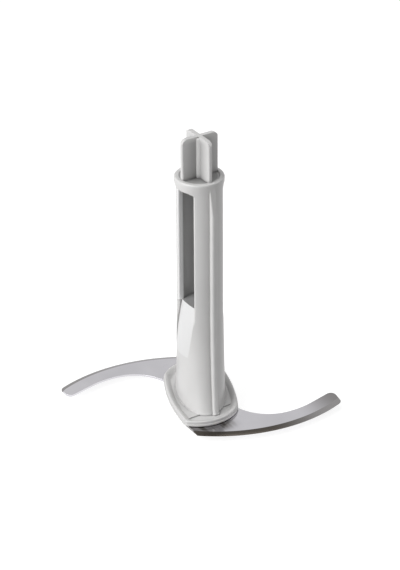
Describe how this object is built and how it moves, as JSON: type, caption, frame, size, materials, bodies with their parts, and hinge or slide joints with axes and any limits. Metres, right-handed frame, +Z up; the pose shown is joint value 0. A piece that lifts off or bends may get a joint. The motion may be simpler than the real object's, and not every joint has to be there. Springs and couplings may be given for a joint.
{
  "type": "food processor blade",
  "caption": "Food processor blade: a stamped S-shaped steel knife under a tall light grey hub with scooped windows, side ribs and a cross drive head.",
  "frame": {"origin": "on the spindle axis, in the plane that the base cap rests on", "axes": "+Z up along the spindle axis, +X out of one window, +Y out through one rib"},
  "size_m": [0.1216, 0.1048, 0.1603],
  "materials": {
    "hub_plastic": "light grey moulded plastic with a satin gloss",
    "blade_steel": "polished stainless sheet with a ground cutting bevel",
    "cap_plastic": "light grey moulded plastic"
  },
  "bodies": {
    "root": {"hub": "hub_plastic", "blade": "blade_steel", "base_cap": "cap_plastic"}
  },
  "joints": []
}
